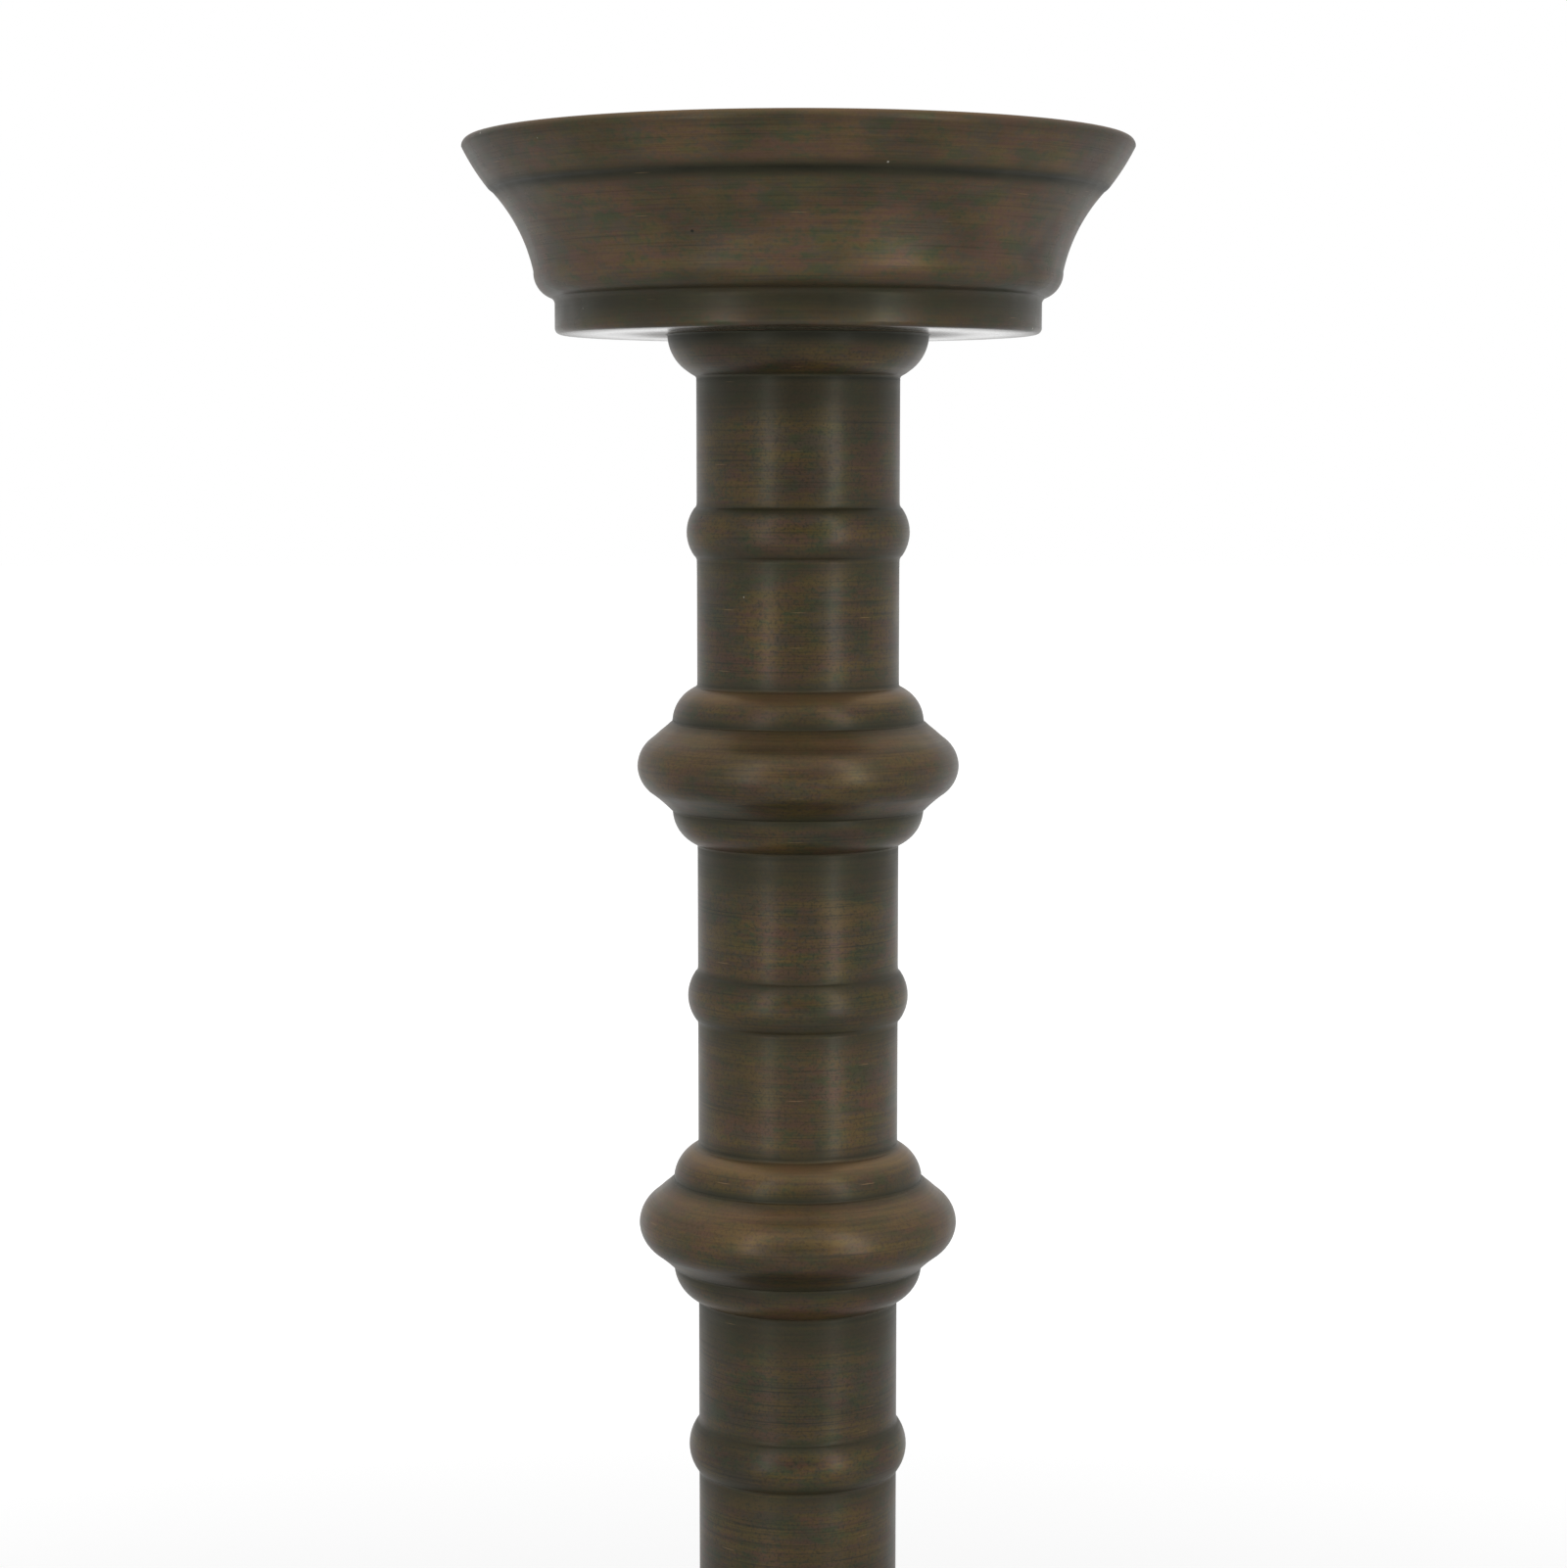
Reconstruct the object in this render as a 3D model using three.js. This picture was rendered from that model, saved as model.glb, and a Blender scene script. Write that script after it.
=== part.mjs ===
// Taper candle holder: four tube sleeves and three turned knops threaded on a tie rod,
// between a weighted foot and a moulded drip pan that holds the taper's socket.
// Millimetres, +Z up. The origin is the centre of the felt pad's underside.
import * as THREE from "three";

// Stem
const tubeRadius = 19.05;
const tubeWall = 2;
const sleeveLength = 57.2;
const sleeveCount = 4;
const beadProjection = 1.85;
const beadHeight = 8.8;
const beadEdge = 0.35;

// Knops between the sleeves: a ring with a rounded nose between two rounded collars
const knopProjection = 11.35;
const knopHeight = 16.4;
const knopFaceProjection = 5.05;
const knopNoseHeight = 9.9;
const knopNoseSwell = 2.45;
const collarProjection = 4.7;
const collarHeight = 7.1;
const collarLip = 0.35;
const collarSwell = 1.1;
const endCollarProjection = 5.35;
const endCollarHeight = 8;
const spigotLength = 5;
const bossRadius = 11.7;
const bossHeight = 2.5;

// Drip pan, from its flat underside up to its lip
const panPlinthRadius = 45.3;
const panPlinthHeight = 6.5;
const panEdgeRound = 1.1;
const panShoulderSpread = 3.9;
const panShoulderHeight = 5;
const panShoulderSwell = 0.9;
const panFlareSpread = 7.55;
const panFlareHeight = 14.6;
const panFlareHollow = 1.1;
const panBandStep = 0.6;
const panBandStepHeight = 0.4;
const panBandSpread = 4.9;
const panBandHeight = 8;
const panBandSwell = 0.25;
const panWall = 2.2;
const panFloor = 3;
const panFloorFillet = 3;

// Taper socket, bolted to the pan's floor
const taperRadius = 11.2;
const taperDepth = 21;
const socketFlangeRadius = 16;
const socketFlangeHeight = 2.4;
const socketWaistRadius = 8.6;
const socketWaistHeight = 3.8;
const socketWaistHollow = 1;
const socketWall = 2.2;
const socketBowlHeight = 6;
const socketBowlSwell = 1.2;
const socketFloor = 1.5;
const socketLipSpread = 3;
const socketLipHeight = 3.4;
const socketLipHollow = 0.7;
const socketLipThickness = 1.1;
const socketMouthChamfer = 0.6;

// Foot, from its lip on the felt up to the top of its plinth
const footRadius = 79;
const footLipRound = 1.3;
const footBandHeight = 11;
const footBandSpread = 4.8;
const footBandSwell = 0.4;
const footBandStep = 1.1;
const footBandStepHeight = 0.6;
const footFlareSpread = 13.4;
const footFlareHeight = 24;
const footFlareHollow = 2.8;
const footShoulderSpread = 3.8;
const footShoulderHeight = 6;
const footShoulderSwell = 1.1;
const footPlinthHeight = 7;
const footWall = 3.4;
const feltSetback = 2;
const feltHoleRadius = 16;
const feltThickness = 2;

// Neck between the foot and the stem
const neckRingRadius = 38.4;
const neckRingHeight = 6.8;
const neckRingSwell = 2.4;
const neckTrumpetSpread = 9.6;
const neckTrumpetHeight = 24.4;
const neckTrumpetHollow = 3;
const neckTopMargin = 1.2;
const neckTopHeight = 3;
const neckWall = 3.4;

// Tie rod and its nut under the foot
const rodRadius = 4;
const rodThreadDepth = 8;
const rodEndGap = 0.5;
const rodTail = 1.2;
const washerRadius = 12;
const washerThickness = 1.6;
const nutAcrossFlats = 13;
const nutHeight = 6.5;
const nutRecessRadius = 14;
const nutRecessDepth = 10;

// Clearance between a piece and what fits round it or in it
const fit = 0.3;

// Facets round the axis, and how far a facet of a moulding may lie from its arc
const stemFacets = 24;
const wideFacets = 36;
const rodFacets = 12;
const arcTolerance = 0.25;

// Heights fall on a fine binary grid, so that two faces that meet have the same height
const heightGrid = 1 / 1024;

const tubeBore = tubeRadius - tubeWall;
const rodHole = rodRadius + fit;
const bossHole = bossRadius + fit;

const bronze = new THREE.MeshStandardMaterial({ color: 0x4a3d2c, roughness: 0.42, metalness: 1 });
const rimBronze = new THREE.MeshStandardMaterial({ color: 0x513f2d, roughness: 0.4, metalness: 1 });
const steel = new THREE.MeshStandardMaterial({ color: 0x9a9a98, roughness: 0.35, metalness: 1 });
const cement = new THREE.MeshStandardMaterial({ color: 0x9b968c, roughness: 0.95, metalness: 0 });
const felt = new THREE.MeshStandardMaterial({ color: 0x2c3a30, roughness: 1, metalness: 0 });

const onGrid = (height) => Math.round(height / heightGrid) * heightGrid;

// A closed profile in the plane of radius and height, drawn with the material on its left:
// outwards along the bottom, up the outside, inwards along the top and down the inside.
class Profile {
  constructor(radius, height) {
    this.points = [new THREE.Vector2(radius, onGrid(height))];
  }

  get end() {
    return this.points[this.points.length - 1];
  }

  line(radius, height) {
    this.points.push(new THREE.Vector2(radius, onGrid(height)));
    return this;
  }

  // A circular arc that stands out from its chord by swell; a negative swell is a hollow. Its steps
  // are an even number, so that one of its points is the middle of the arc.
  arc(radius, height, swell) {
    const from = this.end;
    const to = new THREE.Vector2(radius, onGrid(height));
    const chord = to.clone().sub(from);
    const out = new THREE.Vector2(chord.y, -chord.x).normalize();
    const middle = from.clone().add(to).multiplyScalar(0.5);
    const halfTurn = 2 * Math.atan((2 * Math.abs(swell)) / chord.length());
    const arcRadius = chord.length() / (2 * Math.sin(halfTurn));
    const facetTurn = 2 * Math.acos(Math.max(0, 1 - arcTolerance / arcRadius));
    const steps = 2 * Math.ceil(halfTurn / facetTurn);
    for (let i = 1; i < steps; i++) {
      const turn = halfTurn * ((2 * i) / steps - 1);
      const along = (arcRadius * Math.sin(turn)) / chord.length();
      const rise = arcRadius * (Math.cos(turn) - Math.cos(halfTurn));
      const point = middle.clone().addScaledVector(chord, along);
      this.points.push(point.addScaledVector(out, Math.sign(swell) * rise));
    }
    this.points.push(to);
    return this;
  }

  // A quarter of a circle round an outer corner.
  round(radius, height) {
    const chord = new THREE.Vector2(radius, height).distanceTo(this.end);
    return this.arc(radius, height, (chord * (Math.SQRT2 - 1)) / 2);
  }

  // The solid of revolution, closed from the last point to the first unless both are on the axis.
  revolve(facets) {
    const first = this.points[0];
    const onAxis = first.x === 0 && this.end.x === 0;
    const outline = onAxis ? this.points : [...this.points, first];
    return new THREE.LatheGeometry(outline, facets).rotateX(Math.PI / 2);
  }
}

const sleeveTube = () =>
  new Profile(tubeBore, 0)
    .line(tubeRadius, 0)
    .line(tubeRadius, sleeveLength)
    .line(tubeBore, sleeveLength)
    .revolve(stemFacets);

// A half-round band that slides over a sleeve and is soldered at its middle.
function beadRing() {
  const bore = tubeRadius + fit;
  const edge = bore + beadEdge;
  return new Profile(bore, -beadHeight / 2)
    .line(edge, -beadHeight / 2)
    .arc(edge, beadHeight / 2, tubeRadius + beadProjection - edge)
    .line(bore, beadHeight / 2)
    .revolve(stemFacets);
}

// A collar stands on its wide face. Its boss centres it in the piece below, and its spigot
// centres the sleeve above.
function collar(projection, height) {
  const spigotRadius = tubeBore - fit;
  return new Profile(rodHole, -bossHeight)
    .line(bossRadius, -bossHeight)
    .line(bossRadius, 0)
    .line(tubeRadius + projection, 0)
    .arc(tubeRadius + collarLip, height, collarSwell)
    .line(spigotRadius, height)
    .line(spigotRadius, height + spigotLength)
    .line(rodHole, height + spigotLength)
    .revolve(stemFacets);
}

function knopRing() {
  const faceRadius = tubeRadius + knopFaceProjection;
  const noseRadius = tubeRadius + knopProjection - knopNoseSwell;
  const noseBottom = (knopHeight - knopNoseHeight) / 2;
  return new Profile(bossHole, 0)
    .line(faceRadius, 0)
    .line(noseRadius, noseBottom)
    .arc(noseRadius, noseBottom + knopNoseHeight, knopNoseSwell)
    .line(faceRadius, knopHeight)
    .line(bossHole, knopHeight)
    .revolve(stemFacets);
}

const panShoulderRadius = panPlinthRadius + panShoulderSpread;
const panFlareRadius = panShoulderRadius + panFlareSpread;
const panBandRadius = panFlareRadius + panBandStep;
const panRimRadius = panBandRadius + panBandSpread;
const panShoulderTop = panPlinthHeight + panShoulderHeight;
const panFlareTop = panShoulderTop + panFlareHeight;
const panBandBottom = panFlareTop + panBandStepHeight;
const panBandTop = panBandBottom + panBandHeight;
const panHeight = panBandTop + panWall / 2;

// One even wall: the inside repeats the shoulder, flare and band of the outside.
const dripPan = () =>
  new Profile(bossHole, 0)
    .line(panPlinthRadius - panEdgeRound, 0)
    .round(panPlinthRadius, panEdgeRound)
    .line(panPlinthRadius, panPlinthHeight)
    .arc(panShoulderRadius, panShoulderTop, panShoulderSwell)
    .arc(panFlareRadius, panFlareTop, -panFlareHollow)
    .line(panBandRadius, panBandBottom)
    .arc(panRimRadius, panBandTop, panBandSwell)
    .arc(panRimRadius - panWall, panBandTop, panWall / 2)
    .line(panBandRadius - panWall, panBandBottom)
    .arc(panShoulderRadius - panWall, panShoulderTop, panFlareHollow)
    .arc(panPlinthRadius - panWall - panFloorFillet, panFloor, -panShoulderSwell)
    .line(bossHole, panFloor)
    .revolve(wideFacets);

const socketBoreBottom = rodThreadDepth + rodEndGap + socketFloor;

// A turned cup on a waisted base, drilled from below for the tie rod.
function taperSocket() {
  const cupRadius = taperRadius + socketWall;
  const waistTop = socketFlangeHeight + socketWaistHeight;
  const bowlTop = waistTop + socketBowlHeight;
  const top = socketBoreBottom + taperDepth;
  const lipRadius = cupRadius + socketLipSpread;
  return new Profile(0, rodThreadDepth + rodEndGap)
    .line(rodHole, rodThreadDepth + rodEndGap)
    .line(rodHole, 0)
    .line(socketFlangeRadius, 0)
    .line(socketFlangeRadius, socketFlangeHeight)
    .arc(socketWaistRadius, waistTop, -socketWaistHollow)
    .arc(cupRadius, bowlTop, socketBowlSwell)
    .line(cupRadius, top - socketLipHeight)
    .arc(lipRadius, top - socketLipThickness, -socketLipHollow)
    .line(lipRadius, top)
    .line(taperRadius + socketMouthChamfer, top)
    .line(taperRadius, top - socketMouthChamfer)
    .line(taperRadius, socketBoreBottom)
    .line(0, socketBoreBottom)
    .revolve(stemFacets);
}

const footBandTop = footBandHeight;
const footFlareBottom = footBandTop + footBandStepHeight;
const footFlareTop = footFlareBottom + footFlareHeight;
const footShoulderTop = footFlareTop + footShoulderHeight;
const footPlinthTop = footShoulderTop + footPlinthHeight;
const footBandRadius = footRadius - footBandSpread;
const footFlareRadius = footBandRadius - footBandStep;
const footShoulderRadius = footFlareRadius - footFlareSpread;
const footPlinthRadius = footShoulderRadius - footShoulderSpread;

const neckTrumpetTop = neckRingHeight + neckTrumpetHeight;
const neckHeight = neckTrumpetTop + neckTopHeight;
const neckTopRadius = tubeRadius + endCollarProjection + neckTopMargin;
const neckCoreRadius = neckTopRadius - neckWall;

// The foot's cast shell repeats the pan's mouldings upside down, with a boss that centres the neck.
const footShell = () =>
  new Profile(footRadius - footWall, 0)
    .line(footRadius - footLipRound, 0)
    .round(footRadius, footLipRound)
    .arc(footBandRadius, footBandTop, footBandSwell)
    .line(footFlareRadius, footFlareBottom)
    .arc(footShoulderRadius, footFlareTop, -footFlareHollow)
    .arc(footPlinthRadius, footShoulderTop, footShoulderSwell)
    .line(footPlinthRadius, footPlinthTop)
    .line(neckCoreRadius - fit, footPlinthTop)
    .line(neckCoreRadius - fit, footPlinthTop + bossHeight)
    .line(bossHole, footPlinthTop + bossHeight)
    .line(bossHole, footPlinthTop - footWall)
    .line(footPlinthRadius - footWall, footPlinthTop - footWall)
    .line(footPlinthRadius - footWall, footShoulderTop)
    .line(footShoulderRadius - footWall, footFlareTop)
    .arc(footFlareRadius - footWall, footFlareBottom, footFlareHollow)
    .revolve(wideFacets);

// A ring under a trumpet, cored straight up to the face that carries the stem.
const footNeck = () =>
  new Profile(neckCoreRadius, 0)
    .line(neckRingRadius, 0)
    .arc(neckRingRadius, neckRingHeight, neckRingSwell)
    .line(neckTopRadius + neckTrumpetSpread, neckRingHeight)
    .arc(neckTopRadius, neckTrumpetTop, -neckTrumpetHollow)
    .line(neckTopRadius, neckHeight)
    .line(bossHole, neckHeight)
    .line(bossHole, neckHeight - neckWall)
    .line(neckCoreRadius, neckHeight - neckWall)
    .revolve(wideFacets);

// Cement poured into the shell, level with its lip, with a recess for the nut and washer.
function footFilling() {
  const gap = footWall + fit;
  return new Profile(nutRecessRadius, 0)
    .line(footRadius - gap, 0)
    .line(footFlareRadius - gap, footFlareBottom)
    .arc(footShoulderRadius - gap, footFlareTop, -footFlareHollow)
    .line(footPlinthRadius - gap, footShoulderTop)
    .line(footPlinthRadius - gap, footPlinthTop - gap)
    .line(rodHole, footPlinthTop - gap)
    .line(rodHole, nutRecessDepth)
    .line(nutRecessRadius, nutRecessDepth)
    .revolve(wideFacets);
}

const plainRing = (hole, radius, thickness, facets) =>
  new Profile(hole, 0)
    .line(radius, 0)
    .line(radius, thickness)
    .line(hole, thickness)
    .revolve(facets);

const tieRod = (length) =>
  new Profile(0, 0).line(rodRadius, 0).line(rodRadius, length).line(0, length).revolve(rodFacets);

function hexNut() {
  const hexagon = new THREE.Shape();
  for (let i = 0; i < 6; i++) {
    const angle = (i * Math.PI) / 3;
    const corner = nutAcrossFlats / 2 / Math.cos(Math.PI / 6);
    const point = [corner * Math.cos(angle), corner * Math.sin(angle)];
    if (i === 0) hexagon.moveTo(...point);
    else hexagon.lineTo(...point);
  }
  hexagon.closePath();
  const hole = new THREE.Path().absarc(0, 0, rodHole, 0, 2 * Math.PI, true);
  hexagon.holes.push(hole);
  const options = { depth: onGrid(nutHeight), bevelEnabled: false, curveSegments: rodFacets };
  return new THREE.ExtrudeGeometry(hexagon, options);
}

const holder = new THREE.Group();

function place(name, geometry, material, height, upsideDown = false) {
  const mesh = new THREE.Mesh(geometry, material);
  mesh.name = name;
  mesh.position.z = height;
  mesh.rotation.x = upsideDown ? Math.PI : 0;
  holder.add(mesh);
}

// Everything between the felt and the pan threads on the rod, so it is stacked from the table up.
let level = 0;
const climb = (height) => (level += onGrid(height));

const feltRing = plainRing(feltHoleRadius, footRadius - feltSetback, feltThickness, wideFacets);
place("felt_pad", feltRing, felt, level);
const shellBottom = climb(feltThickness);
place("foot_shell", footShell(), bronze, shellBottom);
place("foot_filling", footFilling(), cement, shellBottom);
place("foot_neck", footNeck(), bronze, climb(footPlinthTop));
place("foot_collar", collar(endCollarProjection, endCollarHeight), bronze, climb(neckHeight));
climb(endCollarHeight);
for (let number = sleeveCount; number >= 1; number--) {
  place(`stem_sleeve_${number}`, sleeveTube(), bronze, level);
  place(`bead_ring_${number}`, beadRing(), bronze, level + onGrid(sleeveLength / 2));
  climb(sleeveLength);
  if (number === 1) break;
  const knop = number - 1;
  const lowerFace = climb(collarHeight);
  place(`knop_lower_collar_${knop}`, collar(collarProjection, collarHeight), bronze, lowerFace, true);
  place(`knop_ring_${knop}`, knopRing(), bronze, lowerFace);
  const upperFace = climb(knopHeight);
  place(`knop_upper_collar_${knop}`, collar(collarProjection, collarHeight), bronze, upperFace);
  climb(collarHeight);
}
const panBottom = climb(endCollarHeight);
place("pan_collar", collar(endCollarProjection, endCollarHeight), bronze, panBottom, true);
place("drip_pan", dripPan(), rimBronze, panBottom);
place("taper_socket", taperSocket(), bronze, panBottom + onGrid(panFloor));

const washerBottom = shellBottom + onGrid(nutRecessDepth) - onGrid(washerThickness);
const nutBottom = washerBottom - onGrid(nutHeight);
const rodBottom = nutBottom - onGrid(rodTail);
const rodTop = panBottom + panFloor + rodThreadDepth;
place("rod_washer", plainRing(rodHole, washerRadius, washerThickness, stemFacets), steel, washerBottom);
place("rod_nut", hexNut(), steel, nutBottom);
place("tie_rod", tieRod(rodTop - rodBottom), steel, rodBottom);

export default holder;
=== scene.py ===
"""Looks for a tall turned candle holder in antique bronze, built round its packed model.

The file is laid out as a Blender add-on and is run as a script. Each operator makes one piece, or
a group of like pieces, as a turner would: a section is drawn, its corners are eased, and it is
turned round the holder's axis. Lengths are in metres, and heights are above the table.
"""

import math
from functools import cache, partial, partialmethod

import bmesh
import bpy
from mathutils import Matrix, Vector


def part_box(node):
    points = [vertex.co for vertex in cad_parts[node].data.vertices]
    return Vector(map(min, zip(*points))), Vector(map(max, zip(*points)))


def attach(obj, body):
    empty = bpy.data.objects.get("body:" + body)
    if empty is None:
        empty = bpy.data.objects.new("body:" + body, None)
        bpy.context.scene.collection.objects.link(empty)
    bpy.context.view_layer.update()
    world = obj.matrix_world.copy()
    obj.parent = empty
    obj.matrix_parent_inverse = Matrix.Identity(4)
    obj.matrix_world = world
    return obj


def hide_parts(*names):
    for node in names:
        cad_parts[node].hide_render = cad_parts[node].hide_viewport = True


bl_info = {
    "name": "Taper candle holder",
    "version": (1, 0, 0),
    "blender": (4, 5, 0),
    "location": "3D View > Sidebar > Candle holder",
    "description": "Models and finishes the pieces of a turned bronze candle holder",
    "category": "Object",
}

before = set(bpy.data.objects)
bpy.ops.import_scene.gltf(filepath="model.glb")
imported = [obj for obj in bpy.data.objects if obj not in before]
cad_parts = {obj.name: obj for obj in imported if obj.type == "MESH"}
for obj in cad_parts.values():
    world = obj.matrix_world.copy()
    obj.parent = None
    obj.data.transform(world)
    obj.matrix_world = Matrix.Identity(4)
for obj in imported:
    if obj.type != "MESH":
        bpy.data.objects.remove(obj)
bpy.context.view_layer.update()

MM = 0.001
FULL_TURN = 2 * math.pi
MERGE_DISTANCE = 0.001 * MM

length = partial(bpy.props.FloatProperty, min=0, precision=5, unit="LENGTH")
angle = partial(bpy.props.FloatProperty, subtype="ANGLE")
share = partial(bpy.props.FloatProperty, min=0, max=1, subtype="FACTOR")
colour = partial(bpy.props.FloatVectorProperty, size=3, min=0, max=1, subtype="COLOR")
power = partial(bpy.props.FloatProperty, min=0, unit="POWER")
focal_length = partial(bpy.props.FloatProperty, min=1, unit="CAMERA")


def properties(kind, **rows):
    """Properties of one kind, from their defaults and descriptions. Each key is its own label."""
    return {
        key: kind(name=key.replace("_", " ").capitalize(), description=text, default=default)
        for key, (default, text) in rows.items()
    }


def millimetres(**rows):
    """Lengths, with their defaults in millimetres."""
    return properties(length, **{key: (size * MM, text) for key, (size, text) in rows.items()})


def top_radius(node):
    """The largest radius of a CAD node, from its box."""
    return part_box(node)[1].x


def span(node):
    """The level, the height and the largest radius of a CAD node, from its box."""
    low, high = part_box(node)
    return low.z, high.z - low.z, high.x


class StemSizes(bpy.types.PropertyGroup):
    """Sizes of the sleeves, beads, collars and knops."""

    __annotations__ = millimetres(
        tube_radius=(top_radius("stem_sleeve_1") / MM, "Outer radius of a sleeve"),
        tube_wall=(2, "Thickness of a sleeve"),
        bead_radius=(20.95, "Largest radius of a bead"),
        bead_edge=(0.5, "How far a bead's edge stands out from its sleeve"),
        solder_length=(1.1, "How far solder spreads from a bead along its sleeve"),
        solder_hollow=(0.16, "Hollow of the solder's slope"),
        fillet=(0.45, "Size of the solder in the corner between two pieces"),
        skin=(0.02, "Thickness of the solder where it runs out"),
        collar_lip=(0.5, "How far a collar's narrow end stands out from its sleeve"),
        collar_swell=(1.15, "Bulge of a collar's curve"),
        knop_face=(24.1, "Radius of the flat face under a collar"),
        nose_height=(9.9, "Height of the rounded nose of a knop"),
        nose_swell=(2.45, "Bulge of the nose"),
        flank_hollow=(0.12, "Hollow of a knop's slopes"),
        boss_radius=(11.7, "Radius of the boss that centres a collar"),
        boss_height=(2.5, "How far the boss enters the piece beyond it"),
        spigot_length=(5, "How far a collar enters its sleeve"),
        rod_hole=(4.3, "Radius of the hole for the tie rod"),
        fit=(0.3, "Clearance between pieces that slide together"),
        ease=(0.35, "How far the rounding of a corner reaches"),
        # The reach of every ring for the material is given in these widths, the dark rings of patina and
        # painted shade among them.
        seam=(1.3, "How far patina spreads from a seam"),
    )


class PanSizes(bpy.types.PropertyGroup):
    """Sizes of the drip pan, from its underside up to its lip."""

    __annotations__ = millimetres(
        plinth_radius=(45.3, "Radius of the plain band at the bottom"),
        plinth_height=(6.5, "Height of that band"),
        plinth_round=(1.1, "Rounding of the bottom corner"),
        plinth_cove=(0.9, "Size of the hollow corner over the plinth"),
        shoulder_radius=(49.2, "Radius at the top of the rounded shoulder"),
        shoulder_top=(11.5, "Height of the top of the shoulder"),
        shoulder_swell=(0.9, "Bulge of the shoulder"),
        flare_radius=(56.75, "Radius at the top of the hollow flare"),
        flare_top=(26.1, "Height of the top of the flare"),
        flare_hollow=(1.1, "Hollow of the flare"),
        band_step=(0.6, "How far the rim's band steps out over the flare"),
        band_bottom=(26.5, "Height of the band's lower edge"),
        band_top=(34.5, "Height where the lip's inside starts"),
        band_swell=(0.25, "Bulge of the band"),
        lip_round=(1.5, "Rounding of the lip's outer corner"),
        wall=(2.2, "Thickness of the pan"),
        floor=(3, "Thickness of the pan's floor"),
        floor_corner=(3, "How far the inner corner is filled"),
    )


class SocketSizes(bpy.types.PropertyGroup):
    """Sizes of the taper socket, from the pan's floor up."""

    __annotations__ = millimetres(
        bore_radius=(11.2, "Radius of the bore for the taper"),
        bore_bottom=(10, "Height of the bore's flat seat"),
        flange_height=(2.4, "Thickness of the flange on the pan's floor"),
        flange_radius=(16, "Radius of the flange"),
        waist_radius=(8.6, "Radius of the waist"),
        waist_top=(6.2, "Height of the waist's narrowest place"),
        waist_hollow=(1, "Hollow of the waist"),
        bowl_top=(12.2, "Height where the cup's wall turns straight"),
        bowl_swell=(1.2, "Bulge of the bowl"),
        wall=(2.2, "Thickness of the cup"),
        lip_radius=(16.4, "Radius of the turned-out lip"),
        lip_bottom=(27.6, "Height where the lip starts to turn out"),
        lip_hollow=(0.7, "Hollow under the lip"),
        lip_edge=(1.1, "Thickness of the lip's edge"),
        mouth_chamfer=(0.6, "Chamfer of the bore's mouth"),
        rod_hole_depth=(8.5, "Depth of the blind hole for the rod"),
    )


class FootSizes(bpy.types.PropertyGroup):
    """Sizes of the foot and its neck, each from its own underside up."""

    __annotations__ = millimetres(
        lip_round=(1.3, "Rounding of the foot's lowest corner"),
        band_radius=(74.2, "Radius at the top of the lower band"),
        band_top=(11, "Height of the lower band"),
        band_swell=(0.4, "Bulge of the lower band"),
        flare_radius=(73.1, "Radius at the bottom of the hollow flare"),
        flare_bottom=(11.6, "Height where the flare starts"),
        flare_hollow=(2.8, "Hollow of the flare"),
        shoulder_radius=(59.7, "Radius at the bottom of the shoulder"),
        shoulder_bottom=(35.6, "Height where the shoulder starts"),
        shoulder_swell=(1.1, "Bulge of the shoulder"),
        plinth_radius=(55.9, "Radius of the plinth on top"),
        plinth_bottom=(41.6, "Height where the plinth starts"),
        plinth_top=(48.6, "Height of the flat top"),
        plinth_round=(1, "Rounding of the plinth's top edge"),
        wall=(3.4, "Thickness of the casting"),
        ring_radius=(38.4, "Radius of the faces of the neck's ring"),
        ring_height=(6.8, "Height of the neck's ring"),
        ring_swell=(2.4, "Bulge of the neck's ring"),
        trumpet_radius=(35.2, "Radius at the bottom of the neck's trumpet"),
        trumpet_top=(31.2, "Height of the top of the trumpet"),
        trumpet_hollow=(3, "Hollow of the trumpet"),
        neck_radius=(25.6, "Radius of the face that carries the stem"),
        nut_recess_radius=(14, "Radius of the recess in the filling"),
        nut_recess_depth=(10, "Depth of the recess in the filling"),
        felt_hole=(16, "Radius of the hole in the felt"),
        felt_round=(0.5, "Rounding of the felt's cut edges"),
    )


class FasteningSizes(bpy.types.PropertyGroup):
    """Sizes of the tie rod, its nut and its washer."""

    __annotations__ = millimetres(
        thread_pitch=(1.25, "Height of one turn of the thread"),
        thread_depth=(0.6, "Depth of the thread"),
        thread_length=(12.5, "Length of the thread under the foot"),
        nut_hole=(4.1, "Radius of the nut's hole"),
        nut_countersink=(0.5, "Width of the slope round the nut's hole"),
        nut_edge=(0.12, "Rounding of the bar's edges"),
        nut_chamfer=(0.6, "Height of the turned chamfer on the nut's corners"),
        washer_round=(0.25, "Rounding of the washer's punched edges"),
    )


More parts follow.
